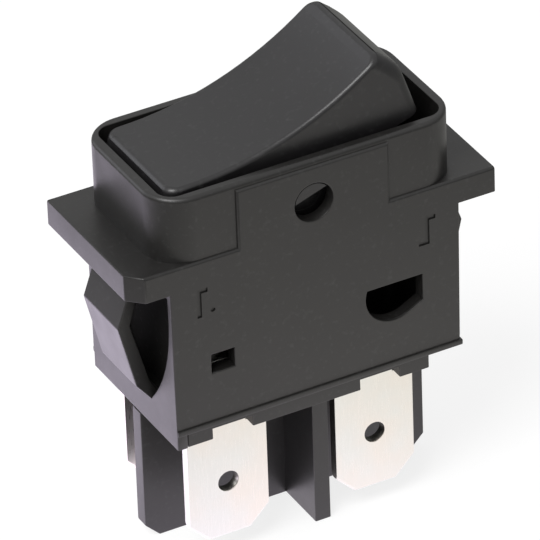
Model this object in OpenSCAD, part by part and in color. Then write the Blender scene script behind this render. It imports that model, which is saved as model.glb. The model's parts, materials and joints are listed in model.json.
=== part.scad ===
// Two-pole panel rocker switch with snap-in tongues and quick-connect tabs.
// X runs along the switch, Y from front to rear, Z up out of the panel.
// It stands on the feet of its cross barrier: origin at the middle of the feet.

/* [Housing] */
// Length of the housing at its foot
body_l = 22.6; // [22.2:0.1:24]
// Width of the housing, front to rear
body_w = 12.6; // [12.4:0.1:14]
// Height from the foot of the housing to the panel seat
seat_h = 11.7; // [11.4:0.1:13]
// How far each end wall leans out between the foot and the seat
end_lean = 0.15; // [0:0.05:0.3]
// Thickness of the front and rear walls
wall = 1.0; // [0.8:0.05:1.2]
// Thickness of the end walls behind the tongues
end_wall = 0.8; // [0.6:0.05:0.9]
// How far the bead along the foot stands proud
foot_bead = 0.15; // [0.05:0.05:0.3]
// Height of the bead along the foot
foot_bead_h = 0.45; // [0.3:0.05:0.7]
// Thickness of the skirt that covers the left end of the base plate
skirt_t = 0.8; // [0.6:0.05:1]

/* [Ears] */
// How far each panel ear stands out past the foot of the housing
ear_reach = 3.05; // [2.7:0.05:4]
// Thickness of the ears
ear_t = 2.05; // [1.6:0.05:2.4]
// Size of the cut across two opposite corners of the ears
ear_cut = 1.1; // [0.6:0.1:1.6]

/* [Collar] */
// How far each end of the collar stands out past the foot of the housing
collar_over = 0.5; // [0.3:0.05:0.8]
// Height of the collar above the ears
collar_h = 5.15; // [4.8:0.05:5.6]
// Thickness of the collar's end walls
collar_end_wall = 0.8; // [0.6:0.05:1]
// Outer corner radius of the collar
collar_r = 2.8; // [2:0.1:3.4]
// Inner corner radius of the collar
collar_in_r = 1.2; // [0.8:0.1:1.2]
// Length of the flush panel on the collar's front and rear
panel_l = 12; // [10:0.5:15]
// How far the rest of the collar lies behind the flush panel
panel_step = 0.2; // [0.1:0.05:0.3]
// Distance of the flush panel's upper edge below the rim
panel_drop = 0.45; // [0.3:0.05:0.6]
// Height above the panel seat of the ledge on which the rocker stops
ledge_h = 1.0; // [0.9:0.05:1.05]

/* [Snap tongues] */
// Width of each tongue
tongue_w = 5.2; // [4.4:0.1:6]
// Thickness of each tongue
tongue_t = 1.0; // [0.8:0.05:1.2]
// How far the catch stands out from the end wall
tongue_reach = 2.4; // [1.9:0.1:2.6]
// Height of the catch above the foot
catch_h = 7.65; // [7.2:0.05:8]
// Lean of the tongue's outer face below the catch, as a share of its height
tongue_lean = 0.24; // [0.15:0.01:0.26]
// Height of the bend at which the tongue turns in to the end wall
knee_h = 2.5; // [2:0.1:3]
// Height of the hinge line at the foot of the tongue
hinge_h = 1.25; // [1:0.05:1.5]
// Depth of the pocket behind the tongue
pocket_d = 1.4; // [1.2:0.05:1.6]
// Thickness of the cheeks beside the pocket
cheek = 0.5; // [0.4:0.05:0.7]
// Radius of the curved sides of the pocket
pocket_r = 12; // [11:0.5:14]
// Height of the widest line of the pocket above the catch
pocket_rise = 1.85; // [1.6:0.05:2.2]
// Distance of the tongue's tip below the panel seat
tongue_short = 0.7; // [0.5:0.05:0.9]
// Lean of the ramp over the catch, as a share of its height
ramp_lean = 0.36; // [0.3:0.02:0.42]

/* [Wall openings] */
// Radius of the pivot holes
pivot_hole_r = 1.5; // [1.3:0.05:1.6]
// Height of the pivot above the panel seat
pivot_h = 3.9; // [3.8:0.05:4.1]
// Middle of the round part of the window, along the switch
window_x = 6.1; // [5.6:0.1:6.2]
// Radius of the round part of the window
window_r = 2.25; // [1.8:0.05:2.3]
// Height of the window's round centre above the foot
window_h = 6.1; // [5.6:0.1:6.4]
// Height of the window above its round centre
window_top = 0.75; // [0.4:0.05:1]
// Length of the window's straight side below its round centre
window_side = 1.35; // [1:0.05:1.6]
// Angle round the window's lower edge that its cut corner spans
window_cut = 25; // [15:1:35]
// How far the square hole lies outwards of the fixed-contact blade's middle
port_out = 0.6; // [0.1:0.1:0.9]
// Width of the square hole
port_w = 1.8; // [1.4:0.1:2]
// Height of the square hole
port_t = 1.5; // [1.2:0.1:1.8]
// Height of the middle of the square hole above the foot
port_h = 5.1; // [4.8:0.1:5.6]

/* [Marks] */
// Distance of the two marks on the front and rear from the middle
mark_x = 9; // [8.5:0.1:9.5]
// Height of the marks' upper ends above the foot
mark_top = 11.5; // [11:0.1:11.6]
// Length of the marks
mark_l = 2.3; // [1.5:0.1:2.6]
// Width of the marks
mark_w = 0.35; // [0.25:0.05:0.5]
// Length of the marks' hooks
mark_hook = 0.85; // [0.6:0.05:1]
// Depth of the marks
mark_depth = 0.12; // [0.1:0.01:0.2]

/* [Base] */
// Height of the cross barrier below the housing, down to its feet
barrier_h = 12; // [11.6:0.1:13]
// Thickness of the long wall of the barrier
barrier_t = 1.2; // [1:0.05:1.4]
// Thickness of the cross wall of the barrier
cross_t = 1.25; // [1:0.05:1.4]
// How far the cross wall stops short of the housing's faces
cross_inset = 1.3; // [1.1:0.1:1.8]
// Gap between the cross wall and the common blades
cross_gap = 0.475; // [0.4:0.025:0.7]
// Chamfer at the feet of the long wall
foot_chamfer = 1.1; // [0.6:0.1:1.4]
// Thickness of the base plate under the housing
plate_t = 1.2; // [1:0.05:1.4]
// Thickness of the plug that fills the mouth of the housing
plug_t = 1.2; // [1:0.05:1.5]
// Gap round the plug
plug_play = 0.05; // [0.03:0.01:0.08]
// How far the plate's edges lie behind the housing's faces
plate_back = 0.1; // [0.05:0.05:0.2]
// How far the base plate stops short of the housing on the common side
plate_short = 2.5; // [2.3:0.1:2.8]
// Thickness left over the notches in the edge of the plate
notch_web = 0.35; // [0.25:0.05:0.5]
// How far the snap ridges of the plug stand out
ridge_reach = 0.25; // [0.15:0.05:0.3]
// Height of the wall between the poles, above the plug
divider_h = 8; // [7:0.1:8.4]
// Thickness of the wall between the poles
divider_t = 0.8; // [0.6:0.05:1]

/* [Terminals] */
// Width of the quick-connect blades
tab_w = 6.3; // [4.8:0.1:6.4]
// Thickness of the blades
tab_t = 0.8; // [0.5:0.05:0.8]
// Length of the blades below the base plate
tab_l = 9.25; // [8:0.05:9.8]
// Chamfer at the tip of the blades
tab_chamfer = 1.5; // [0.8:0.1:1.8]
// Radius of the hole in the blades
tab_hole_r = 0.8; // [0.6:0.05:0.9]
// Distance from the tip of the blade to its hole
tab_hole_up = 4.55; // [3.6:0.05:4.8]
// How far the blades' outer faces lie inside the housing's faces
tab_inset = 1.15; // [1.1:0.01:1.3]
// Distance of the fixed-contact blades from their end of the housing
fixed_inset = 4.4; // [4.3:0.1:4.5]
// Distance of the common blades from their end of the housing
common_inset = 6.45; // [6.2:0.05:6.6]
// Width of the stems that pass through the base
stem_w = 3.1; // [2.6:0.1:3.2]
// Gap round the stems in their slots
stem_play = 0.02; // [0.01:0.01:0.04]

/* [Rocker] */
// Gap between the rocker and each end wall of the collar when level
rocker_end_gap = 1.0; // [0.9:0.05:1.2]
// Gap between the rocker's tipped ends and the collar
rocker_tip_gap = 0.1; // [0.1:0.05:0.3]
// Gap between the rocker and the front and rear walls
rocker_side_gap = 0.5; // [0.4:0.05:0.7]
// Radius of the hollow touch face
touch_r = 25; // [22:0.5:30]
// Height of the middle of the touch face above the pivot
touch_h = 4.95; // [4.8:0.05:5.2]
// Height of the skirt's lower edge above the pivot
skirt_h = 0.45; // [0.4:0.05:0.7]
// Thickness of the rocker's walls
rocker_wall = 1.0; // [0.8:0.05:1.1]
// Plan corner radius of the rocker
rocker_r = 0.8; // [0.5:0.1:1.2]
// Tilt of the rocker from level when pressed
tilt = 18.5; // [16:0.5:19]
// Gap between the rocker's pins and the pivot holes
pin_play = 0.07; // [0.04:0.01:0.09]
// Gap between the end of a pin and the face of the housing
pin_set = 0.08; // [0.05:0.01:0.2]
// Height of the flat under each pin above the pivot
pin_flat_h = 0.6; // [0.3:0.05:0.8]
// Length of the flat under each pin
pin_flat_l = 1.5; // [1.2:0.05:1.6]
// Radius of the lugs round the pins
lug_r = 2.4; // [2.1:0.1:2.6]

/* [Contacts] */
// Distance of each pole's middle from the wall beside it
pole_inset = 2.8; // [2.7:0.01:2.85]
// Height of the knife edge above the foot
fulcrum_h = 4.3; // [4.2:0.05:4.5]
// Width of the contact levers
lever_w = 2.8; // [2.4:0.1:3]
// Thickness of the contact levers
lever_t = 0.5; // [0.4:0.05:0.6]
// Rise of the lever's arms from its middle
lever_rise = 15; // [14:0.5:15.5]
// Swing of the lever to each side of level
lever_swing = 8; // [7.5:0.5:8]
// Length of the lever's plunger arm
plunger_arm = 5; // [4.6:0.1:5.2]
// Gap between the lever's saddle and the knife edge
saddle_play = 0.05; // [0.03:0.01:0.08]
// Radius of the contact faces
contact_r = 1.3; // [1:0.05:1.4]
// Thickness of the contact heads
contact_t = 0.6; // [0.5:0.05:0.7]
// Radius of the domed face of the moving contacts
dome_r = 3.5; // [3:0.1:5]
// Radius of the contact shanks
shank_r = 0.7; // [0.5:0.05:0.8]
// Thickness of the upset end of a contact's shank
upset_t = 0.25; // [0.2:0.05:0.35]
// How far the upset end stands out round the shank
upset_over = 0.3; // [0.2:0.05:0.4]
// Gap between the closed contacts
contact_gap = 0.05; // [0.02:0.01:0.1]

/* [Plungers] */
// Radius of the plungers
plunger_r = 1.25; // [1.1:0.05:1.3]
// Gap between a plunger and its bore
plunger_play = 0.08; // [0.05:0.01:0.1]
// Wall of the plunger tubes
tube_wall = 0.65; // [0.5:0.05:0.7]
// Distance from the pivot to the mouth of the plunger tubes
tube_l = 3; // [2.6:0.1:3.4]
// Distance from the knife edge to the tip of a plunger when the rocker is level
plunger_short = 1.3; // [1.3:0.05:1.5]
// Length of plunger inside the tube, above the pivot
plunger_up = 0.4; // [0:0.1:1]
// Roof over the bores of the plungers
bore_roof = 1.4; // [1.2:0.1:1.6]
// Wire of the plunger springs
spring_wire = 0.3; // [0.2:0.05:0.35]
// Turns of the plunger springs
spring_turns = 5; // [4:1:6]

/* [Hidden] */
$fn = 48;
eps = 0.01;
over = 1;

// Small gaps: over the tongues' tips, beside the coils, over the knife edge, beside the divider
tip_gap = 0.2;
coil_gap = 0.1;
saddle_gap = 0.1;
divider_gap = 0.5;

// Levels up the switch
foot_z = barrier_h;
seat_z = foot_z + seat_h;
ear_z = seat_z + ear_t;
rim_z = ear_z + collar_h;
pivot_z = seat_z + pivot_h;
plate_z = foot_z - plate_t;
plug_z = foot_z + plug_t;
fulcrum_z = foot_z + fulcrum_h;
catch_z = foot_z + catch_h;
plunger_l = pivot_z - fulcrum_z - plunger_short;

// Sizes along and across the switch
half_l = body_l / 2;
half_w = body_w / 2;
inner_w = body_w - 2 * wall;
ear_l = body_l + 2 * ear_reach;
collar_l = body_l + 2 * collar_over;
cross_w = body_w - 2 * cross_inset;
plate_end = half_l - plate_short;
fixed_x = fixed_inset - half_l;
common_x = half_l - common_inset;
cross_x = common_x - tab_w / 2 - cross_gap - cross_t / 2;
port_x = fixed_x - port_out;
tab_y = half_w - tab_inset;
pole_y = inner_w / 2 - pole_inset;
pocket_x = half_l - pocket_d;
chamber_l = 2 * (pocket_x - end_wall);
collar_w = body_w - 2 * panel_step;
collar_in_l = collar_l - 2 * collar_end_wall;
rocker_l = collar_in_l - 2 * rocker_end_gap;
rocker_w = inner_w - 2 * rocker_side_gap;
rocker_end_r = collar_in_l / 2 - rocker_tip_gap;
ledge_z = seat_z + ledge_h;
tip_x = half_l + tongue_reach;
pin_r = pivot_hole_r - pin_play;
tube_bore_r = plunger_r + plunger_play;
tube_r = tube_bore_r + tube_wall;
spring_r = tube_bore_r - coil_gap - spring_wire / 2;
ridge_z = foot_z + plug_t / 2;
ridge_l = cross_w / 2;
ridge_play = 0.1;
bore_top = touch_h - bore_roof;

black = "#2b2b2b";
tin = "#e8e6e2";
brass = "#b9974f";
copper = "#b8764a";
silver = "#d0d0d4";
steel = "#8f9296";

// A rectangle with rounded corners
module rounded(l, w, r) {
    square([l - 2 * r, w], center = true);
    square([l, w - 2 * r], center = true);
    for (x = [-1, 1], y = [-1, 1])
        translate([x * (l / 2 - r), y * (w / 2 - r)]) circle(r);
}

// Stands a drawing of X and Z upright, with its thickness centred on Y
module upright(t) {
    rotate([90, 0, 0]) linear_extrude(t, center = true) children();
}

// Repeats a piece at the front (-1) or at the rear (1)
module at_pole(side) {
    if (side > 0) mirror([0, 1, 0]) children();
    else children();
}

// ---- Housing ----

module body_shell() {
    top_x = half_l + end_lean;
    upright(body_w)
        polygon([[-half_l, foot_z], [half_l, foot_z], [top_x, ear_z - eps], [-top_x, ear_z - eps]]);
    translate([0, 0, foot_z])
        linear_extrude(foot_bead_h)
            translate([-half_l, -half_w - foot_bead]) square([body_l + foot_bead, body_w + 2 * foot_bead]);
    translate([-half_l, -half_w, plate_z]) cube([skirt_t, body_w, plate_t + eps]);
    translate([0, 0, seat_z]) linear_extrude(ear_t) ear_plan();
}

// Plan of the ears, with two opposite corners cut off
module ear_plan() {
    half = ear_l / 2;
    polygon([
        [-half, ear_cut - half_w], [ear_cut - half, -half_w], [half, -half_w],
        [half, half_w - ear_cut], [half - ear_cut, half_w], [-half, half_w]
    ]);
}

module collar() {
    height = rim_z - seat_z;
    translate([0, 0, seat_z]) linear_extrude(height) rounded(collar_l, collar_w, collar_r);
    translate([0, 0, seat_z]) linear_extrude(height - panel_drop) square([panel_l, body_w], center = true);
}

// The hollow that holds the mechanism, and the well in which the rocker tips
module chamber() {
    translate([-chamber_l / 2, -inner_w / 2, foot_z - over])
        cube([chamber_l, inner_w, ledge_z - foot_z + over + eps]);
    translate([0, 0, ledge_z])
        linear_extrude(rim_z - ledge_z + over) rounded(collar_in_l, inner_w, collar_in_r);
    for (x = [-1, 1])
        translate([x * (chamber_l / 2 + ridge_reach / 2), 0, ridge_z])
            cube([ridge_reach + 2 * ridge_play, ridge_l + 2 * ridge_play, plug_t / 2 + ridge_play],
                center = true);
}

// Pocket behind a tongue: curved sides that close towards the hinge line
module pocket() {
    half_pocket = half_w - cheek;
    shoulder_z = catch_z + pocket_rise;
    pocket_top = seat_z - tongue_short + tip_gap;
    translate([pocket_x, 0, 0])
        rotate([90, 0, 90]) linear_extrude(pocket_d + over) {
            intersection() {
                lens(pocket_r - half_pocket, shoulder_z, pocket_r);
                translate([-half_pocket, foot_z + hinge_h])
                    square([2 * half_pocket, shoulder_z - foot_z - hinge_h]);
            }
            translate([-half_pocket, shoulder_z - eps])
                square([2 * half_pocket, pocket_top - shoulder_z + eps]);
        }
}

// The lens where two discs to the left and right overlap
module lens(offset_y, centre_z, r) {
    intersection() {
        translate([offset_y, centre_z]) circle(r, $fn = 96);
        translate([-offset_y, centre_z]) circle(r, $fn = 96);
    }
}

// Side view of the tongue: hinge, leaning outer face, catch, and ramp up to the panel seat
module tongue() {
    root_z = foot_z + hinge_h - tongue_t / 5;
    knee_z = foot_z + knee_h;
    knee_x = tip_x - (catch_z - knee_z) * tongue_lean;
    ramp_top_z = seat_z - tongue_short;
    ramp_x = tip_x - (ramp_top_z - catch_z) * ramp_lean;
    upright(tongue_w)
        polygon([
            [pocket_x + pocket_d / 2, root_z], [half_l, root_z], [knee_x, knee_z],
            [tip_x, catch_z], [ramp_x, ramp_top_z], [ramp_x - 0.8 * tongue_t, ramp_top_z],
            [tip_x - tongue_t, catch_z], [knee_x - tongue_t, knee_z + tongue_t / 4]
        ]);
}

// Round window with a flat top, and a cut corner towards the end of the switch
module window_shape() {
    cut = [window_r * sin(window_cut), -window_r * cos(window_cut)];
    translate([window_x, foot_z + window_h]) {
        intersection() {
            circle(window_r);
            translate([-window_r, -window_r]) square([2 * window_r, window_r + window_top]);
        }
        polygon([[0, 0], cut, [window_r, -window_side], [window_r, window_top], [0, window_top]]);
    }
}

module wall_openings() {
    translate([0, 0, pivot_z]) rotate([90, 0, 0]) cylinder(r = pivot_hole_r, h = body_w + 2, center = true);
    upright(body_w + 2) window_shape();
    translate([port_x, 0, foot_z + port_h]) cube([port_w, body_w + 2, port_t], center = true);
}

// Shallow hooked mark by each terminal, on the front and on the rear
module hook_mark(x, low_hook) {
    translate([x, -half_w, foot_z + mark_top - mark_l]) {
        translate([-mark_w / 2, -over, 0]) cube([mark_w, over + mark_depth, mark_l]);
        translate([-mark_w / 2, -over, mark_l - mark_w]) cube([mark_hook, over + mark_depth, mark_w]);
        if (low_hook)
            translate([mark_w / 2 - mark_hook, -over, 0]) cube([mark_hook, over + mark_depth, mark_w]);
    }
}

module marks() {
    dot_x = mark_hook - mark_x;
    dot_z = foot_z + mark_top - mark_l + mark_w;
    hook_mark(-mark_x - mark_w / 2, false);
    hook_mark(mark_x - mark_w / 2, true);
    translate([dot_x, -half_w, dot_z])
        rotate([90, 0, 0]) cylinder(d = mark_w, h = 2 * mark_depth, center = true);
}

module housing() {
    color(black) {
        difference() {
            union() {
                body_shell();
                collar();
            }
            chamber();
            wall_openings();
            for (a = [0, 180]) rotate(a) marks();
            for (a = [0, 180]) rotate(a) pocket();
        }
        for (a = [0, 180]) rotate(a) tongue();
    }
}

// ---- Base with the cross barrier ----

module barrier() {
    top = foot_z - eps;
    under_skirt = plate_z - plug_play;
    upright(barrier_t)
        polygon([
            [-half_l, foot_chamfer], [-half_l + foot_chamfer, 0],
            [half_l - foot_chamfer, 0], [half_l, foot_chamfer],
            [half_l, top], [-half_l + skirt_t + plug_play, top],
            [-half_l + skirt_t + plug_play, under_skirt], [-half_l, under_skirt]
        ]);
    translate([cross_x - cross_t / 2, -cross_w / 2, 0]) cube([cross_t, cross_w, plate_z + eps]);
}

module base_plate() {
    left = -half_l + skirt_t + plug_play;
    plate_w = body_w - 2 * plate_back;
    translate([left, -plate_w / 2, plate_z]) cube([plate_end - left, plate_w, plate_t]);
    translate([0, 0, foot_z - eps])
        linear_extrude(plug_t + eps)
            square([chamber_l - 2 * plug_play, inner_w - 2 * plug_play], center = true);
    for (x = [-1, 1])
        translate([x * (chamber_l / 2 + ridge_reach / 2 - plug_play), 0, ridge_z])
            cube([ridge_reach, ridge_l, plug_t / 2], center = true);
    translate([divider_gap - chamber_l / 2, -divider_t / 2, plug_z - eps])
        cube([chamber_l - 2 * divider_gap, divider_t, divider_h + eps]);
}

// Slot for a stem, and the notch in the plate's edge that shows the stem
module stem_slot(x) {
    slot_t = tab_t + 2 * stem_play;
    translate([x - stem_w / 2 - stem_play, -tab_y - stem_play, plate_z - over])
        cube([stem_w + 2 * stem_play, slot_t, plate_t + plug_t + 2 * over]);
    translate([x - stem_w / 2 - stem_play, -half_w - over, plate_z - over])
        cube([stem_w + 2 * stem_play, half_w + over - tab_y + eps, over + plate_t - notch_web]);
}

module base() {
    color(black)
        difference() {
            union() {
                barrier();
                base_plate();
            }
            for (side = [-1, 1], x = [fixed_x, common_x]) at_pole(side) stem_slot(x);
        }
}

// ---- Terminals ----

// Quick-connect blade with its stem, standing in the plane of the tab
module blade(x, stem_top) {
    tip_z = plate_z - tab_l;
    difference() {
        translate([x, -tab_y + tab_t / 2, 0]) upright(tab_t) {
            polygon([
                [-tab_w / 2, plate_z], [-tab_w / 2, tip_z + tab_chamfer],
                [-tab_w / 2 + tab_chamfer, tip_z], [tab_w / 2 - tab_chamfer, tip_z],
                [tab_w / 2, tip_z + tab_chamfer], [tab_w / 2, plate_z]
            ]);
            translate([-stem_w / 2, plate_z - eps]) square([stem_w, stem_top - plate_z + eps]);
        }
        translate([x, -tab_y + tab_t / 2, tip_z + tab_hole_up])
            rotate([90, 0, 0]) cylinder(r = tab_hole_r, h = 2 * tab_t, center = true);
    }
}

// The stem is bent inwards at shelf height and carries the fixed contact
module fixed_terminal() {
    top = fixed_face_z - contact_t;
    reach = tab_y - pole_y + contact_r;
    color(tin)
        difference() {
            union() {
                blade(fixed_x, top);
                translate([fixed_x - stem_w / 2, -tab_y, top - tab_t]) cube([stem_w, reach, tab_t]);
            }
            translate([fixed_x, -pole_y, top - 2 * tab_t]) cylinder(r = shank_r, h = 3 * tab_t);
        }
}

// The stem is bent inwards on the plug and carries the knife edge
module common_terminal() {
    shelf_z = plug_z;
    lug_y = -pole_y - lever_w / 2;
    color(tin) {
        blade(common_x, shelf_z + tab_t);
        translate([-tab_t / 2, lug_y, shelf_z])
            cube([common_x + stem_w / 2 + tab_t / 2, lever_w, tab_t]);
        translate([common_x - stem_w / 2, -tab_y, shelf_z]) cube([stem_w, tab_y + lug_y + eps, tab_t]);
        translate([-tab_t / 2, lug_y, shelf_z]) cube([tab_t, lever_w, fulcrum_z - shelf_z]);
        translate([0, -pole_y, fulcrum_z])
            rotate([90, 0, 0]) cylinder(r = tab_t / 2, h = lever_w, center = true);
    }
}

// ---- Contacts ----

// The arms of the lever leave its middle at arm_drop over the knife edge
saddle_r = tab_t / 2 + saddle_play;
arm_drop = saddle_r + saddle_gap;
arm_l = -fixed_x;

// Centre of the dome of a moving contact with the lever level, and its height when closed
dome_back = dome_r - contact_t;
dome_x = dome_back * sin(lever_rise) - arm_l;
dome_z = arm_drop + arm_l * tan(lever_rise) + dome_back * cos(lever_rise);
closed_z = fulcrum_z + dome_x * sin(lever_swing) + dome_z * cos(lever_swing) - dome_r;
fixed_face_z = closed_z - contact_gap;

// A round-headed rivet with its face up, its shank through the shelf
module fixed_contact() {
    color(silver) translate([fixed_x, -pole_y, fixed_face_z - contact_t]) {
        cylinder(r = contact_r, h = contact_t);
        translate([0, 0, -tab_t - upset_t]) cylinder(r = shank_r, h = tab_t + upset_t + eps);
        translate([0, 0, -tab_t - upset_t]) cylinder(r = shank_r + upset_over, h = upset_t);
    }
}

// Bent strip that see-saws on the knife edge, drawn level about the edge
module lever_shape() {
    s = arm_drop;
    t = lever_t / cos(lever_rise);
    left = arm_l + contact_r;
    difference() {
        union() {
            polygon([
                [0, s], [plunger_arm, s + plunger_arm * tan(lever_rise)],
                [plunger_arm, s + t + plunger_arm * tan(lever_rise)],
                [0, s + t], [-left, s + t + left * tan(lever_rise)], [-left, s + left * tan(lever_rise)]
            ]);
            translate([-2 * saddle_r, 0]) square([4 * saddle_r, s + t]);
        }
        circle(saddle_r);
        translate([-saddle_r, -over]) square([2 * saddle_r, over]);
    }
}

// Places a piece of the lever at rest, with its contact arm up
module lever_at_rest() {
    translate([0, -pole_y, fulcrum_z]) rotate([0, lever_swing, 0]) children();
}

module contact_lever() {
    color(copper) lever_at_rest()
        difference() {
            upright(lever_w) lever_shape();
            rivet_place() cylinder(r = shank_r, h = 4 * lever_t, center = true);
        }
}

// Middle of the moving contact's seat under the contact arm
module rivet_place() {
    translate([-arm_l, 0, arm_drop + arm_l * tan(lever_rise)]) rotate([0, lever_rise, 0]) children();
}

module moving_contact() {
    color(silver) lever_at_rest() rivet_place() {
        intersection() {
            translate([0, 0, -contact_t]) cylinder(r = contact_r, h = contact_t);
            translate([0, 0, dome_back]) sphere(dome_r);
        }
        translate([0, 0, -eps]) cylinder(r = shank_r, h = lever_t + upset_t);
        translate([0, 0, lever_t]) cylinder(r = shank_r + upset_over, h = upset_t);
    }
}

// ---- Rocker and plungers, drawn level about the pivot ----

module rocker_at_rest() {
    translate([0, 0, pivot_z]) rotate([0, -tilt, 0]) children();
}

// Side view of the rocker, or of its hollow when inset by a wall
module rocker_side(inset) {
    half = rocker_l / 2 - inset;
    intersection() {
        difference() {
            translate([-half, inset > 0 ? -over : skirt_h]) square([2 * half, rocker_end_r]);
            translate([0, touch_h + touch_r]) circle(touch_r + 1.2 * inset, $fn = 144);
        }
        circle(rocker_end_r - inset, $fn = 96);
    }
}

module rocker_shell() {
    difference() {
        intersection() {
            upright(rocker_w) rocker_side(0);
            linear_extrude(2 * rocker_l, center = true) rounded(rocker_l, rocker_w, rocker_r);
        }
        upright(rocker_w - 2 * rocker_wall) rocker_side(rocker_wall);
    }
}

// Lug, and pin that bears with its upper side and is cut flat below
module rocker_pin() {
    pin_end = half_w - pin_set;
    wall_y = rocker_w / 2 - rocker_wall;
    flat_y = pin_end - pin_flat_l;
    rotate([90, 0, 0])
        difference() {
            translate([0, 0, wall_y]) {
                cylinder(r = lug_r, h = rocker_wall);
                cylinder(r = pin_r, h = pin_end - wall_y);
            }
            intersection() {
                translate([0, 0, flat_y]) cylinder(r = pin_r + eps, h = pin_flat_l + over);
                translate([-lug_r, pin_flat_h - 2 * lug_r, wall_y]) cube([2 * lug_r, 2 * lug_r, pin_end]);
            }
        }
}

module plunger_tube() {
    translate([0, -pole_y, -tube_l]) cylinder(r = tube_r, h = tube_l + touch_h - rocker_wall);
}

module plunger_bore() {
    translate([0, -pole_y, -tube_l - over])
        cylinder(r = tube_bore_r, h = tube_l + over + bore_top);
}

module rocker() {
    color(black) rocker_at_rest()
        difference() {
            union() {
                rocker_shell();
                for (side = [-1, 1]) at_pole(side) {
                    rocker_pin();
                    plunger_tube();
                }
            }
            for (side = [-1, 1]) at_pole(side) plunger_bore();
        }
}

module plunger() {
    color(brass) rocker_at_rest() translate([0, -pole_y, 0]) {
        translate([0, 0, plunger_r - plunger_l]) {
            cylinder(r = plunger_r, h = plunger_l + plunger_up - plunger_r);
            sphere(plunger_r);
        }
    }
}

// Coil between the plunger and the roof of its bore
module plunger_spring() {
    bottom = plunger_up + spring_wire / 2;
    top = bore_top - spring_wire / 2;
    pitch = (top - bottom) / spring_turns;
    color(steel) rocker_at_rest() translate([0, -pole_y, 0])
        for (i = [0 : spring_turns])
            translate([0, 0, bottom + i * pitch])
                rotate_extrude() translate([spring_r, 0]) circle(spring_wire / 2, $fn = 16);
}

housing();
base();
rocker();
at_pole(-1) fixed_terminal();  // front_fixed_terminal
at_pole(1) fixed_terminal();  // rear_fixed_terminal
at_pole(-1) common_terminal();  // front_common_terminal
at_pole(1) common_terminal();  // rear_common_terminal
at_pole(-1) fixed_contact();  // front_fixed_contact
at_pole(1) fixed_contact();  // rear_fixed_contact
at_pole(-1) contact_lever();  // front_contact_lever
at_pole(1) contact_lever();  // rear_contact_lever
at_pole(-1) moving_contact();  // front_moving_contact
at_pole(1) moving_contact();  // rear_moving_contact
at_pole(-1) plunger();  // front_plunger
at_pole(1) plunger();  // rear_plunger
at_pole(-1) plunger_spring();  // front_plunger_spring
at_pole(1) plunger_spring();  // rear_plunger_spring
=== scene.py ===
"""Dresses the solids of a snap-in panel rocker switch with moulded edges and real finishes."""

import json
import math

import bmesh
import bpy
from mathutils import Matrix, Vector


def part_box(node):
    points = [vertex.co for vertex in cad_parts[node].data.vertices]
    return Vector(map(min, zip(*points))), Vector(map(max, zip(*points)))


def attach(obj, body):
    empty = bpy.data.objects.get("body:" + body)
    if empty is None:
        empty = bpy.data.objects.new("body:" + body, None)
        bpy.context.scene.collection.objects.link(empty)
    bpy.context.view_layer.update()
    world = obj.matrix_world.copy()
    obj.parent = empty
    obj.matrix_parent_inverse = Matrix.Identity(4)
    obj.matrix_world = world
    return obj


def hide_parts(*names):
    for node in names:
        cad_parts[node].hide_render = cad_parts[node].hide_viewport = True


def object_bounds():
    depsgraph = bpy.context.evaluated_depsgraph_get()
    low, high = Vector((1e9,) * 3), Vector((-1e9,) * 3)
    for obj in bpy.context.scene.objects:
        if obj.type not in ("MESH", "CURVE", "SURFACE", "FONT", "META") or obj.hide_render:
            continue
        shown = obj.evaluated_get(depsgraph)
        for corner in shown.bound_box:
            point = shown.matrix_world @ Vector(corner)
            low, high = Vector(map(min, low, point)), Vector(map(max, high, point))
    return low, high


bl_info = {
    "name": "Panel Rocker Switch",
    "version": (1, 0, 0),
    "blender": (4, 5, 0),
    "location": "View3D > Sidebar > Rocker Switch",
    "description": "Moulded edges, finishes and a plain studio for a panel rocker switch",
    "category": "Object",
}

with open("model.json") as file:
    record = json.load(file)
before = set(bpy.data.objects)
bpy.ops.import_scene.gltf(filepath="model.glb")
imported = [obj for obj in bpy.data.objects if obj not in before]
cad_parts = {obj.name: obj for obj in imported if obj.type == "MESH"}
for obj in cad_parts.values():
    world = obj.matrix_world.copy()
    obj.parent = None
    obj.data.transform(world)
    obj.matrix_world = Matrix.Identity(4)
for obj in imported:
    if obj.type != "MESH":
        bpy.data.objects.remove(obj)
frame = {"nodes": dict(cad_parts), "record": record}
cad_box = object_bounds()

MM = 0.001
POLES = ("front", "rear")
ROCKER_TILT = math.radians(18.5)

# Least angle of an edge that is rounded, in degrees, and how far two heights may differ in millimetres
SHARP = 25
SAME = 0.01

# Least share of a unit normal along an axis: for a face that looks that way, for one that lies flush,
# and for the touch face along the rocker's own up
FACES = 0.9
FLUSH = 0.98
UPWARD = 0.8

# Where the marks lie on the housing, in millimetres from its faces, middle and rim
MARK_DEPTH = 0.4
MARK_NEAR = 8.0
MARK_FAR = 9.8
MARK_LOW = 7.2
MARK_HIGH = 9.9

# Height of the collar over the ears and half the panel's length
COLLAR_HEIGHT = 5.2
PANEL_HALF = 5.9

# Half length and half width within which an edge lies inside the housing's walls
WALL_INSIDE = (10.9, 5.8)

# Half length, half width, foot and top of the room that the mould's cores leave, and their roughness;
# there the reflection is also nearly taken away, as painted shade in the housing's hollows
CORE_HALF = (10.4, 6.1)
CORE_FOOT = 12.1
CORE_TOP = 25.5
CORE_ROUGHNESS = 0.85

# Height of a blade's chamfered tip, and least height of the touch face over the pivot, in millimetres
TIP_HEIGHT = 1.6
TOUCH_LEAST = 4.0

# Points on a rounded corner, points round the ring that cuts the corners,
# and the most corners that a face of a curved surface has
CORNER_STEPS = 8
RING_STEPS = 72
WALL_CORNERS = 8
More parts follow.
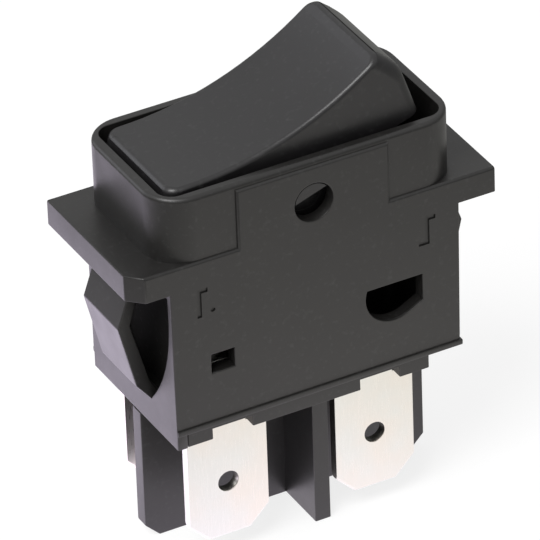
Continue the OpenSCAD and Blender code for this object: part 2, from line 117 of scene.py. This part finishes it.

# How bright the floor glows in the switch's gloss alone, a painted reflection: dim far off, with painted
# pools of light where the lamps would strike it, each pool given by its middle and reach in millimetres and
# its linear colour
FLOOR_DARK = (0.40, 0.40, 0.38, 1.0)
PAINTED_FLOOR_POOLS = (
    ((10, -20, 0), 80, (1.12, 1.09, 1.05, 1.0)),
    ((-18, 26, 0), 60, (2.15, 1.95, 2.35, 1.0)),
)
FLOOR_SHARE = 0.72
FLOOR_SIZE = 3.0
FLOOR_DROP = 0.02 * MM
FLOOR_GLOW = 1.12
BACKDROP = 1.05

# How far up the sky's gloss stops growing, as the height of a unit vector
SKY_TOP = 0.6

# Each lamp's name, place from the switch's middle, side in metres and colour
LAMPS = (
    ("softbox", (-0.22, -0.12, 0.34), 0.22, (1.0, 1.0, 1.0)),
    ("back light", (-0.20, 0.26, 0.10), 0.20, (0.92, 0.93, 1.0)),
)

# Point that the camera looks at in millimetres, and its sensor
CAMERA_TARGET = (1.118, 2.794, 16.61)
SENSOR = 36


def joint(name):
    """The record's entry of a joint."""
    return next(j for j in frame["record"]["behaviour"]["joints"] if j["name"] == name)


def linear(code):
    """Turns an sRGB hex colour into linear red, green and blue."""
    parts = [int(code[i:i + 2], 16) / 255 for i in (1, 3, 5)]
    return tuple(p / 12.92 if p <= 0.04045 else ((p + 0.055) / 1.055) ** 2.4 for p in parts)


def colour_prop(name, code, description):
    """A colour that the user can pick, given as a hex code."""
    return bpy.props.FloatVectorProperty(
        name=name, description=description, subtype="COLOR", size=3, min=0, max=1, default=linear(code)
    )


def size_prop(name, millimetres, description):
    """A length in metres whose default is given in millimetres."""
    return bpy.props.FloatProperty(
        name=name, description=description, subtype="DISTANCE", unit="LENGTH", min=0, precision=5,
        default=millimetres * MM
    )


class SwitchEdges(bpy.types.PropertyGroup):
    """How far the edges of the pieces are rounded."""

    rim: size_prop("Collar rim", 0.34, "Rounding of the collar's outer top edge")
    mouth: size_prop("Mouth", 0.07, "Rounding of the collar's inner top edge")
    panel: size_prop("Flush panel", 0.18, "Rounding round the flush panel of the collar")
    moulded: size_prop("Moulded edges", 0.10, "Rounding of the housing's other edges")
    base: size_prop("Base edges", 0.08, "Rounding of the base's edges")
    end_corner: size_prop("Rocker's end corners", 1.0, "Rounding of the rocker's ends towards its sides")
    touch: size_prop("Touch face", 0.35, "Rounding round the rocker's touch face")
    sheared: size_prop("Sheared edges", 0.06, "Rounding of the stamped blades")
    coined: size_prop("Coined tips", 0.25, "Bevel pressed on the tips of the blades")


class SwitchFinish(bpy.types.PropertyGroup):
    """Colours of the switch."""

    polyamide: colour_prop("Polyamide", "#1c1b1a", "Black of the housing and base")
    rocker: colour_prop("Rocker", "#1c1b1c", "Black of the rocker")
    tin: colour_prop("Tin", "#d4d5d0", "Tin plate of the blades")
    brass: colour_prop("Brass", "#c9a45c", "Turned plungers")
    copper: colour_prop("Copper strip", "#8a7040", "Contact levers")
    silver: colour_prop("Silver", "#dcdce0", "Contact rivets")
    steel: colour_prop("Steel", "#a9abb0", "Springs")


class StudioSettings(bpy.types.PropertyGroup):
    """Camera, floor and light."""

    azimuth: bpy.props.FloatProperty(
        name="Azimuth", description="Camera's turn from the front towards the left end",
        subtype="ANGLE", default=math.radians(27.497)
    )
    elevation: bpy.props.FloatProperty(
        name="Elevation", description="Camera's height over the horizon",
        subtype="ANGLE", default=math.radians(33.004)
    )
    roll: bpy.props.FloatProperty(
        name="Roll", description="Camera's turn about its own axis",
        subtype="ANGLE", default=math.radians(-2.108)
    )
    distance: size_prop("Distance", 525.99, "From the camera to the point it looks at")
    lens: bpy.props.FloatProperty(
        name="Lens", description="Focal length on a 36 mm sensor", subtype="DISTANCE_CAMERA", default=497.1
    )
    sky: bpy.props.FloatProperty(name="Sky", description="Strength of the even light", default=0.38)
    sky_gloss: bpy.props.FloatProperty(
        name="Sky in gloss", description="Brightness of the white ceiling in reflections", default=0.84
    )
    horizon_gloss: bpy.props.FloatProperty(
        name="Horizon in gloss", description="Brightness of the walls low down in reflections", default=0.25
    )
    softbox: bpy.props.FloatProperty(
        name="Softbox", description="Power of the key light in watts", default=1.4
    )
    back_light: bpy.props.FloatProperty(
        name="Back light", description="Power of the low light behind the left end, in watts", default=0.2
    )


# ---- Meshes ----

def deselect():
    """Leaves edit mode and selects nothing."""
    if bpy.context.object and bpy.context.object.mode != "OBJECT":
        bpy.ops.object.mode_set(mode="OBJECT")
    bpy.ops.object.select_all(action="DESELECT")


def make_active(piece):
    """Selects one piece alone."""
    deselect()
    piece.select_set(True)
    bpy.context.view_layer.objects.active = piece


def solid_copy(node, name):
    """Copies a solid of the frame, merges its loose triangles and joins its flat faces."""
    source = frame["nodes"][node]
    piece = source.copy()
    piece.data = source.data.copy()
    piece.name = piece.data.name = name
    piece.parent = None
    for key in list(piece.keys()):
        del piece[key]
    bpy.context.scene.collection.objects.link(piece)
    make_active(piece)
    bpy.ops.mesh.customdata_custom_splitnormals_clear()
    bpy.ops.object.mode_set(mode="EDIT")
    bpy.ops.mesh.select_all(action="SELECT")
    bpy.ops.mesh.remove_doubles(threshold=0.001 * MM)
    bpy.ops.mesh.mark_sharp(clear=True)
    bpy.ops.mesh.dissolve_limited(angle_limit=math.radians(0.6))
    bpy.ops.object.mode_set(mode="OBJECT")
    return piece


def every_edge(ends, normals):
    """Chooses each sharp edge."""
    return True


def in_mark(point, lo, hi):
    """True at the shallow marks by the terminals, whose edges stay as they are."""
    on_face = min(point.y - lo.y, hi.y - point.y) < MARK_DEPTH
    beside = MARK_NEAR < abs(point.x) < MARK_FAR
    return on_face and beside and MARK_LOW < hi.z - point.z < MARK_HIGH


def round_edges(piece, width, chosen, segments=3):
    """Bevels the convex edges for which chosen(ends, normals) holds, ends in millimetres."""
    make_active(piece)
    bpy.ops.object.mode_set(mode="EDIT")
    bpy.ops.mesh.select_mode(type="EDGE")
    bpy.ops.mesh.select_all(action="DESELECT")
    mesh = bmesh.from_edit_mesh(piece.data)
    count = 0
    for edge in mesh.edges:
        if len(edge.link_faces) != 2 or not edge.is_convex:
            continue
        if math.degrees(edge.calc_face_angle(0)) < SHARP:
            continue
        ends = [v.co / MM for v in edge.verts]
        normals = [f.normal for f in edge.link_faces]
        if chosen(ends, normals):
            edge.select_set(True)
            count += 1
    bmesh.update_edit_mesh(piece.data)
    if count:
        bpy.ops.mesh.bevel(
            offset=width, offset_type="OFFSET", segments=segments, profile=0.5,
            affect="EDGES", clamp_overlap=False, loop_slide=False, harden_normals=False
        )
    bpy.ops.object.mode_set(mode="OBJECT")
    return count


def finish_mesh(piece, angle=35):
    """Smooth shading that keeps flat faces flat. A face with many corners is a plain wall."""
    make_active(piece)
    bpy.ops.object.shade_smooth_by_angle(angle=math.radians(angle))
    bpy.ops.object.modifier_add(type="WEIGHTED_NORMAL")
    modifier = piece.modifiers[-1]
    modifier.keep_sharp = True
    modifier.weight = 100
    bpy.ops.object.modifier_apply(modifier=modifier.name)
    normals = [corner.vector.copy() for corner in piece.data.corner_normals]
    for face in piece.data.polygons:
        if face.loop_total > WALL_CORNERS:
            for corner in face.loop_indices:
                normals[corner] = face.normal
    piece.data.normals_split_custom_set(normals)


def refinish(node, material):
    """Gives a solid of the frame a better material and leaves its shape."""
    solid = frame["nodes"][node]
    solid.data.materials.clear()
    solid.data.materials.append(material)


def dress(piece, material, body, slot, *nodes):
    """Gives a piece its material, its body and the solids it stands for. The slot is not used."""
    piece.data.materials.clear()
    piece.data.materials.append(material)
    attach(piece, body)
    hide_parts(*nodes)


# ---- Materials ----

def add(tree, kind, inputs=(), **settings):
    """Adds a node, sets its properties, and fills or links its inputs."""
    made = tree.nodes.new(kind)
    for key, value in settings.items():
        setattr(made, key, value)
    for key, value in dict(inputs).items():
        if isinstance(value, bpy.types.NodeSocket):
            tree.links.new(value, made.inputs[key])
        else:
            made.inputs[key].default_value = value
    return made


def new_material(name):
    """An empty node material with a Principled surface."""
    old = bpy.data.materials.get(name)
    if old:
        return old, None, None
    material = bpy.data.materials.new(name)
    material.use_nodes = True
    tree = material.node_tree
    tree.nodes.clear()
    shader = add(tree, "ShaderNodeBsdfPrincipled")
    add(tree, "ShaderNodeOutputMaterial", {"Surface": shader.outputs[0]})
    return material, tree, shader


def four(colour, gain=1.0):
    """A colour with alpha, scaled."""
    return (colour[0] * gain, colour[1] * gain, colour[2] * gain, 1.0)


def inside(tree, place):
    """One within the housing's walls and pockets, else zero: there the unpolished cores make the surface
    rougher, and the reflection is nearly taken away as painted shade in the hollows.
    """
    def calc(operation, *values):
        return add(tree, "ShaderNodeMath", dict(enumerate(values)), operation=operation).outputs[0]

    x, y, z = add(tree, "ShaderNodeSeparateXYZ", {"Vector": place}).outputs
    along = calc("LESS_THAN", calc("ABSOLUTE", x), CORE_HALF[0] * MM)
    across = calc("LESS_THAN", calc("ABSOLUTE", y), CORE_HALF[1] * MM)
    below = calc("LESS_THAN", z, CORE_TOP * MM)
    above = calc("GREATER_THAN", z, CORE_FOOT * MM)
    return calc("MULTIPLY", calc("MULTIPLY", along, across), calc("MULTIPLY", below, above))


def moulded_polyamide(name, colour, roughness):
    """Glass-filled polyamide 6.6 from a spark-eroded mould: satin, with a grain of about 0.1 mm,
    drawn a little coarser so that it shows, and slow cloudy changes of gloss where it flowed."""
    material, tree, shader = new_material(name)
    if tree is None:
        return material
    place = add(tree, "ShaderNodeTexCoord").outputs["Object"]
    cloud = add(tree, "ShaderNodeTexNoise", {"Vector": place, "Scale": 260, "Detail": 3, "Roughness": 0.6})
    speck = add(tree, "ShaderNodeTexNoise", {"Vector": place, "Scale": 2600, "Detail": 2, "Roughness": 0.5})
    grain = add(tree, "ShaderNodeTexNoise", {"Vector": place, "Scale": 7000, "Detail": 2, "Roughness": 0.6})
    tint = add(tree, "ShaderNodeMix", {
        "Factor": cloud.outputs["Fac"], "A": four(colour, 0.82), "B": four(colour, 1.18)
    }, data_type="RGBA")
    dust = add(tree, "ShaderNodeMapRange", {
        "Value": speck.outputs["Fac"], "From Min": 0.58, "From Max": 0.78, "To Min": 0.0, "To Max": 0.25
    })
    fibre = add(tree, "ShaderNodeMix", {
        "Factor": dust.outputs["Result"], "A": tint.outputs["Result"], "B": four((0.06, 0.06, 0.06))
    }, data_type="RGBA")
    gloss = add(tree, "ShaderNodeMapRange", {
        "Value": cloud.outputs["Fac"], "From Min": 0.3, "From Max": 0.7,
        "To Min": roughness - 0.03, "To Max": roughness + 0.04
    })
    rough_and_painted_shade = inside(tree, place)
    gloss = add(tree, "ShaderNodeMix", {"Factor": rough_and_painted_shade, "A": gloss.outputs["Result"], "B": CORE_ROUGHNESS})
    # Reflection nearly taken away within the walls and pockets: painted shade in the housing's hollows
    specular_with_painted_shade = add(tree, "ShaderNodeMapRange", {"Value": rough_and_painted_shade, "To Min": 0.5, "To Max": 0.08})
    low = add(tree, "ShaderNodeBump", {
        "Height": cloud.outputs["Fac"], "Strength": 0.25, "Distance": 0.010 * MM
    })
    fine = add(tree, "ShaderNodeBump", {
        "Height": grain.outputs["Fac"], "Normal": low.outputs["Normal"],
        "Strength": 0.35, "Distance": 0.006 * MM
    })
    tree.links.new(fibre.outputs["Result"], shader.inputs["Base Color"])
    tree.links.new(gloss.outputs["Result"], shader.inputs["Roughness"])
    tree.links.new(fine.outputs["Normal"], shader.inputs["Normal"])
    tree.links.new(specular_with_painted_shade.outputs["Result"], shader.inputs["Specular IOR Level"])
    shader.inputs["IOR"].default_value = 1.53
    return material


def stretched(tree, scale):
    """Object coordinates stretched so that a noise turns into lines."""
    place = add(tree, "ShaderNodeTexCoord").outputs["Object"]
    return add(tree, "ShaderNodeMapping", {"Vector": place, "Scale": scale}).outputs["Vector"]


def rolled_metal(name, colour, roughness, scale, warm):
    """Rolled and stamped strip: fine lines along the rolling direction, about 0.06 mm apart,
    and a slow change of tone where the plating or the surface has gathered a film."""
    material, tree, shader = new_material(name)
    if tree is None:
        return material
    lines = add(tree, "ShaderNodeTexNoise", {
        "Vector": stretched(tree, scale), "Scale": 1.0, "Detail": 3, "Roughness": 0.6
    })
    place = add(tree, "ShaderNodeTexCoord").outputs["Object"]
    film = add(tree, "ShaderNodeTexNoise", {"Vector": place, "Scale": 330, "Detail": 2, "Roughness": 0.5})
    tone = add(tree, "ShaderNodeMapRange", {
        "Value": film.outputs["Fac"], "From Min": 0.35, "From Max": 0.7, "To Min": 0.0, "To Max": 0.5
    })
    tint = add(tree, "ShaderNodeMix", {
        "Factor": tone.outputs["Result"], "A": four(colour), "B": four(warm)
    }, data_type="RGBA")
    gloss = add(tree, "ShaderNodeMapRange", {
        "Value": lines.outputs["Fac"], "From Min": 0.3, "From Max": 0.7,
        "To Min": roughness - 0.05, "To Max": roughness + 0.06
    })
    relief = add(tree, "ShaderNodeBump", {
        "Height": lines.outputs["Fac"], "Strength": 0.3, "Distance": 0.003 * MM
    })
    tree.links.new(tint.outputs["Result"], shader.inputs["Base Color"])
    tree.links.new(gloss.outputs["Result"], shader.inputs["Roughness"])
    tree.links.new(relief.outputs["Normal"], shader.inputs["Normal"])
    shader.inputs["Metallic"].default_value = 1.0
    return material


def polyamide_body():
    """Black polyamide of the housing and the base."""
    return moulded_polyamide("moulded black polyamide", bpy.context.scene.switch_finish.polyamide, 0.40)


def polyamide_rocker():
    """Black polyamide of the rocker, from a smoother mould."""
    return moulded_polyamide("smooth black polyamide", bpy.context.scene.switch_finish.rocker, 0.36)


def tin_plate():
    """Bright tin plate on brass strip."""
    finish = bpy.context.scene.switch_finish
    return rolled_metal("tin-plated brass strip", finish.tin, 0.30, (16000, 16000, 900), linear("#dcd2c6"))


def copper_strip():
    """Rolled copper alloy, a little tarnished."""
    finish = bpy.context.scene.switch_finish
    tarnish = linear("#6b5a35")
    return rolled_metal("rolled copper alloy strip", finish.copper, 0.36, (900, 16000, 16000), tarnish)


def silver_rivet():
    """Silver alloy contact rivet, cold headed."""
    finish = bpy.context.scene.switch_finish
    return rolled_metal("headed silver alloy", finish.silver, 0.28, (9000, 9000, 9000), linear("#c9c6c0"))


def turned_brass():
    """Brass rod turned on a lathe: rings across the plunger's axis."""
    finish = bpy.context.scene.switch_finish
    return rolled_metal("turned brass rod", finish.brass, 0.25, (900, 900, 14000), linear("#a8843f"))


def spring_wire():
    """Drawn and patented steel wire."""
    finish = bpy.context.scene.switch_finish
    return rolled_metal("drawn steel wire", finish.steel, 0.30, (5000, 5000, 5000), linear("#8e9094"))


# ---- Pieces ----

class SWITCH_OT_housing(bpy.types.Operator):
    """Make the housing with its rounded collar, ears and snap tongues"""

    bl_idname = "switch.housing"
    bl_label = "Housing"

    def execute(self, context):
        edges = context.scene.switch_edges
        piece = solid_copy("housing", "housing_shell")
        lo, hi = [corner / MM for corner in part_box("housing")]

        def facing(ends, normals):
            """How far the wall below an edge of the rim faces outwards, and 0 for every other edge."""
            sides = [n for n in normals if abs(n.z) < FACES]
            on_top = all(abs(e.z - hi.z) < SAME for e in ends)
            return sides[0].xy.dot((ends[0] + ends[1]).xy) if on_top and len(sides) == 1 else 0

        def rim(ends, normals):
            return facing(ends, normals) > 0

        def mouth(ends, normals):
            return facing(ends, normals) < 0

        def panel(ends, normals):
            high = all(hi.z - COLLAR_HEIGHT < e.z < hi.z - SAME for e in ends)
            flush = any(abs(n.y) > FLUSH for n in normals)
            beside = all(abs(e.y) > hi.y - MARK_DEPTH and abs(e.x) > PANEL_HALF for e in ends)
            return high and flush and beside

        def moulded(ends, normals):
            outside = all(abs(e.x) > WALL_INSIDE[0] or abs(e.y) > WALL_INSIDE[1] for e in ends)
            below_rim = any(e.z < hi.z - 2 * edges.rim / MM for e in ends)
            return outside and below_rim and not any(in_mark(e, lo, hi) for e in ends)

        made = [
            round_edges(piece, edges.rim, rim, 5),
            round_edges(piece, edges.panel, panel, 3),
            round_edges(piece, edges.mouth, mouth, 3),
            round_edges(piece, edges.moulded, moulded, 2),
        ]
        if min(made) < 2:
            raise RuntimeError(f"the housing's edges weren't found: {made}")
        finish_mesh(piece)
        dress(piece, polyamide_body(), "housing", "black_polyamide", "housing")
        return {"FINISHED"}


class SWITCH_OT_base(bpy.types.Operator):
    """Make the base plate with its cross barrier"""

    bl_idname = "switch.base"
    bl_label = "Base and barrier"

    def execute(self, context):
        edges = context.scene.switch_edges
        piece = solid_copy("base", "barrier_base")
        if not round_edges(piece, edges.base, every_edge, 2):
            raise RuntimeError("the base's edges weren't found")
        finish_mesh(piece)
        dress(piece, polyamide_body(), "housing", "black_polyamide", "base")
        return {"FINISHED"}


def select_points(piece, chosen):
    """Selects the vertices for which chosen(place) holds, in edit mode."""
    mesh = bmesh.from_edit_mesh(piece.data)
    for vertex in mesh.verts:
        vertex.select_set(chosen(vertex.co))
    mesh.select_flush_mode()
    bmesh.update_edit_mesh(piece.data)


def corner_ring(pivot, up, radius, half, fillet):
    """A ring about the pivot with a hollow corner, which rounds the rocker's ends when it is cut away.
    Its facets lie even to both sides of up, so that none ends close to the touch face."""
    tiny = fillet / 100
    room = fillet
    deselect()
    middle = pivot + Vector((radius - fillet, half - fillet, 0))
    bpy.ops.mesh.primitive_circle_add(vertices=4 * CORNER_STEPS, radius=fillet, location=middle)
    ring = bpy.context.object
    bpy.ops.object.transform_apply(location=True)
    bpy.ops.object.mode_set(mode="EDIT")
    bpy.ops.mesh.select_mode(type="VERT")
    select_points(ring, lambda p: p.x < middle.x - tiny or p.y < middle.y - tiny)
    bpy.ops.mesh.delete(type="VERT")
    select_points(ring, lambda p: p.y < middle.y + tiny)
    bpy.ops.mesh.extrude_region_move(TRANSFORM_OT_translate={"value": (room, 0, 0)})
    bpy.ops.mesh.extrude_region_move(TRANSFORM_OT_translate={"value": (0, fillet + room, 0)})
    select_points(ring, lambda p: p.x < middle.x + tiny)
    bpy.ops.mesh.extrude_region_move(TRANSFORM_OT_translate={"value": (0, room, 0)})
    select_points(ring, lambda p: p.y > middle.y + fillet + room - tiny)
    bpy.ops.mesh.edge_face_add()
    bpy.ops.mesh.select_all(action="SELECT")
    bpy.ops.mesh.spin(steps=RING_STEPS, angle=math.tau, center=pivot, axis=(0, 1, 0), use_auto_merge=True)
    bpy.ops.mesh.select_all(action="SELECT")
    bpy.ops.mesh.remove_doubles(threshold=tiny)
    step = math.tau / RING_STEPS
    turn = -((math.atan2(up.z, up.x) - step / 2) % step)
    bpy.ops.transform.rotate(value=turn, orient_axis="Y", center_override=pivot)
    bpy.ops.mesh.normals_make_consistent(inside=False)
    bpy.ops.object.mode_set(mode="OBJECT")
    return ring


def cut_away(piece, cutter):
    """Takes the cutter's volume off a piece, once on each side of the switch."""
    for _ in (0, 1):
        make_active(piece)
        bpy.ops.object.modifier_add(type="BOOLEAN")
        modifier = piece.modifiers[-1]
        modifier.operation = "DIFFERENCE"
        modifier.solver = "EXACT"
        modifier.object = cutter
        bpy.ops.object.modifier_apply(modifier=modifier.name)
        make_active(cutter)
        bpy.ops.object.mode_set(mode="EDIT")
        bpy.ops.mesh.select_all(action="SELECT")
        bpy.ops.transform.resize(value=(1, -1, 1), center_override=(0, 0, 0))
        bpy.ops.mesh.normals_make_consistent(inside=False)
        bpy.ops.object.mode_set(mode="OBJECT")
    bpy.data.objects.remove(cutter, do_unlink=True)


class SWITCH_OT_rocker(bpy.types.Operator):
    """Make the rocker with its softened touch face"""

    bl_idname = "switch.rocker"
    bl_label = "Rocker"

    def execute(self, context):
        edges = context.scene.switch_edges
        piece = solid_copy("rocker", "rocker_cap")
        up = Vector((-math.sin(ROCKER_TILT), 0, math.cos(ROCKER_TILT)))
        pivot = Vector(joint("rocker_pivot")["pos_m"])
        reach = max((v.co - pivot).xz.length for v in piece.data.vertices)
        half = max(abs(v.co.y) for v in piece.data.vertices if (v.co - pivot).xz.length > reach / 2)
        cut_away(piece, corner_ring(pivot, up, reach, half, edges.end_corner))

        def touch(ends, normals):
            high = all((e - pivot / MM).dot(up) > TOUCH_LEAST for e in ends)
            return high and sum(n.dot(up) > UPWARD for n in normals) == 1

        if round_edges(piece, edges.touch, touch, 4) < 20:
            raise RuntimeError("the edges of the touch face weren't found")
        finish_mesh(piece)
        dress(piece, polyamide_rocker(), "rocker", "black_polyamide_rocker", "rocker")
        return {"FINISHED"}


class SWITCH_OT_terminals(bpy.types.Operator):
    """Make the four stamped quick-connect blades"""

    bl_idname = "switch.terminals"
    bl_label = "Terminals"

    def execute(self, context):
        edges = context.scene.switch_edges
        for pole in POLES:
            for kind in ("fixed", "common"):
                node = f"{pole}_{kind}_terminal"
                piece = solid_copy(node, f"{pole}_{kind}_blade")
                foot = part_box(node)[0].z / MM

                def tip(ends, normals):
                    along = any(abs(n.y) > FACES for n in normals)
                    return along and all(e.z < foot + TIP_HEIGHT for e in ends)

                made = [
                    round_edges(piece, edges.coined, tip, 2),
                    round_edges(piece, edges.sheared, every_edge, 2),
                ]
                if min(made) < 6:
                    raise RuntimeError(f"the blade's edges weren't found: {made}")
                finish_mesh(piece)
                dress(piece, tin_plate(), "housing", "tinned_brass", node)
        return {"FINISHED"}


class SWITCH_OT_contacts(bpy.types.Operator):
    """Finish the contact rivets and the see-saw levers"""

    bl_idname = "switch.contacts"
    bl_label = "Contacts and levers"

    def execute(self, context):
        for pole in POLES:
            refinish(f"{pole}_fixed_contact", silver_rivet())
            refinish(f"{pole}_moving_contact", silver_rivet())
            refinish(f"{pole}_contact_lever", copper_strip())
        return {"FINISHED"}


class SWITCH_OT_plungers(bpy.types.Operator):
    """Finish the plungers and their springs"""

    bl_idname = "switch.plungers"
    bl_label = "Plungers and springs"

    def execute(self, context):
        for pole in POLES:
            refinish(f"{pole}_plunger", turned_brass())
            refinish(f"{pole}_plunger_spring", spring_wire())
        return {"FINISHED"}


class SWITCH_OT_studio(bpy.types.Operator):
    """Set up the pale floor, the soft light and the camera"""

    bl_idname = "switch.studio"
    bl_label = "Studio"

    def execute(self, context):
        scene = context.scene
        studio = scene.switch_studio
        deselect()
        bpy.ops.mesh.primitive_plane_add(size=FLOOR_SIZE, location=(0, 0, -FLOOR_DROP))
        floor = context.object
        floor.name = "floor"
        material = bpy.data.materials.new("pale paper")
        material.use_nodes = True
        tree = material.node_tree
        tree.nodes.clear()
        rays = add(tree, "ShaderNodeLightPath")
        place = add(tree, "ShaderNodeTexCoord").outputs["Object"]
        # Painted reflection: the floor glows to glossy rays alone, dim far off and with painted pools of
        # light round each middle
        painted_reflection = FLOOR_DARK
        for middle, reach, colour in PAINTED_FLOOR_POOLS:
            far = add(tree, "ShaderNodeVectorMath", {
                0: place, 1: Vector(middle) * MM
            }, operation="DISTANCE")
            near = add(tree, "ShaderNodeMapRange", {
                "Value": far.outputs["Value"], "From Min": reach * MM, "From Max": 0.0
            }, interpolation_type="SMOOTHSTEP")
            painted_reflection = add(tree, "ShaderNodeMix", {
                "Factor": near.outputs["Result"], "A": painted_reflection, "B": colour
            }, data_type="RGBA").outputs["Result"]
        seen = add(tree, "ShaderNodeMix", {
            "Factor": rays.outputs["Is Glossy Ray"], "A": (1.0, 1.0, 1.0, 1.0), "B": painted_reflection
        }, data_type="RGBA")
        straight = add(tree, "ShaderNodeMath", {
            0: rays.outputs["Is Camera Ray"], 1: rays.outputs["Is Transmission Ray"]
        }, operation="MAXIMUM")
        share = add(tree, "ShaderNodeMath", {
            0: straight.outputs[0], 1: FLOOR_SHARE, 2: rays.outputs["Is Glossy Ray"]
        }, operation="MULTIPLY_ADD")
        share.use_clamp = True
        paper = add(tree, "ShaderNodeBsdfDiffuse", {"Color": four(linear("#f4f4f4"))})
        glow = add(tree, "ShaderNodeEmission", {"Color": seen.outputs["Result"], "Strength": FLOOR_GLOW})
        mixed = add(tree, "ShaderNodeMixShader", {
            0: share.outputs[0], 1: paper.outputs[0], 2: glow.outputs[0]
        })
        add(tree, "ShaderNodeOutputMaterial", {"Surface": mixed.outputs[0]})
        floor.data.materials.append(material)

        world = bpy.data.worlds.new("even light")
        scene.world = world
        world.use_nodes = True
        tree = world.node_tree
        tree.nodes.clear()
        rays = add(tree, "ShaderNodeLightPath")
        ray = add(tree, "ShaderNodeTexCoord").outputs["Generated"]
        climb = add(tree, "ShaderNodeSeparateXYZ", {"Vector": ray}).outputs["Z"]
        high = add(tree, "ShaderNodeMapRange", {
            "Value": climb, "From Min": 0.0, "From Max": SKY_TOP,
            "To Min": studio.horizon_gloss, "To Max": studio.sky_gloss
        }, interpolation_type="SMOOTHSTEP")
        lit = add(tree, "ShaderNodeMapRange", {
            "Value": rays.outputs["Is Glossy Ray"], "To Min": studio.sky, "To Max": high.outputs["Result"]
        })
        even = add(tree, "ShaderNodeBackground", {"Color": (1, 1, 1, 1), "Strength": lit.outputs["Result"]})
        white = add(tree, "ShaderNodeBackground", {"Color": (1, 1, 1, 1), "Strength": BACKDROP})
        mixed = add(tree, "ShaderNodeMixShader", {
            0: rays.outputs["Is Camera Ray"], 1: even.outputs[0], 2: white.outputs[0]
        })
        add(tree, "ShaderNodeOutputWorld", {"Surface": mixed.outputs[0]})

        lo, hi = cad_box
        middle = (lo + hi) / 2
        for (name, place, size, tint), power in zip(LAMPS, (studio.softbox, studio.back_light)):
            deselect()
            bpy.ops.object.light_add(type="AREA", location=middle + Vector(place))
            lamp = context.object
            lamp.name = name
            lamp.data.shape = "SQUARE"
            lamp.data.size = size
            lamp.data.energy = power
            lamp.data.color = tint
            lamp.rotation_mode = "QUATERNION"
            lamp.rotation_quaternion = (-Vector(place)).to_track_quat("-Z", "Y")

        deselect()
        a, e = studio.azimuth, studio.elevation
        back = Vector((-math.sin(a) * math.cos(e), -math.cos(a) * math.cos(e), math.sin(e)))
        target = Vector(CAMERA_TARGET) * MM
        bpy.ops.object.camera_add(location=target + back * studio.distance)
        camera = context.object
        camera.name = "camera"
        look = (-back).to_track_quat("-Z", "Y").to_matrix()
        turn = Matrix.Rotation(studio.roll, 3, "Z")
        camera.rotation_euler = (look @ turn).to_euler()
        camera.data.lens = studio.lens
        camera.data.sensor_width = SENSOR
        camera.data.clip_start = 0.05
        camera.data.clip_end = 10
        scene.camera = camera
        scene.view_settings.view_transform = "Standard"
        return {"FINISHED"}


class SWITCH_PT_panel(bpy.types.Panel):
    """Lists the pieces of the switch"""

    bl_idname = "SWITCH_PT_panel"
    bl_label = "Rocker Switch"
    bl_space_type = "VIEW_3D"
    bl_region_type = "UI"
    bl_category = "Rocker Switch"

    def draw(self, context):
        layout = self.layout
        for operator in OPERATORS:
            layout.operator(operator.bl_idname)
        for group in (context.scene.switch_edges, context.scene.switch_finish, context.scene.switch_studio):
            box = layout.box()
            for key in group.bl_rna.properties.keys():
                if key not in ("rna_type", "name"):
                    box.prop(group, key)


OPERATORS = (
    SWITCH_OT_housing,
    SWITCH_OT_base,
    SWITCH_OT_rocker,
    SWITCH_OT_terminals,
    SWITCH_OT_contacts,
    SWITCH_OT_plungers,
    SWITCH_OT_studio,
)
CLASSES = (SwitchEdges, SwitchFinish, StudioSettings) + OPERATORS + (SWITCH_PT_panel,)


def register():
    """Adds the classes and the settings."""
    for item in CLASSES:
        bpy.utils.register_class(item)
    bpy.types.Scene.switch_edges = bpy.props.PointerProperty(type=SwitchEdges)
    bpy.types.Scene.switch_finish = bpy.props.PointerProperty(type=SwitchFinish)
    bpy.types.Scene.switch_studio = bpy.props.PointerProperty(type=StudioSettings)


def unregister():
    """Takes the settings and the classes away."""
    del bpy.types.Scene.switch_studio
    del bpy.types.Scene.switch_finish
    del bpy.types.Scene.switch_edges
    for item in reversed(CLASSES):
        bpy.utils.unregister_class(item)


def main():
    """Makes every piece and the studio."""
    register()
    bpy.ops.switch.housing()
    bpy.ops.switch.base()
    bpy.ops.switch.rocker()
    bpy.ops.switch.terminals()
    bpy.ops.switch.contacts()
    bpy.ops.switch.plungers()
    bpy.ops.switch.studio()


if __name__ == "__main__":
    main()
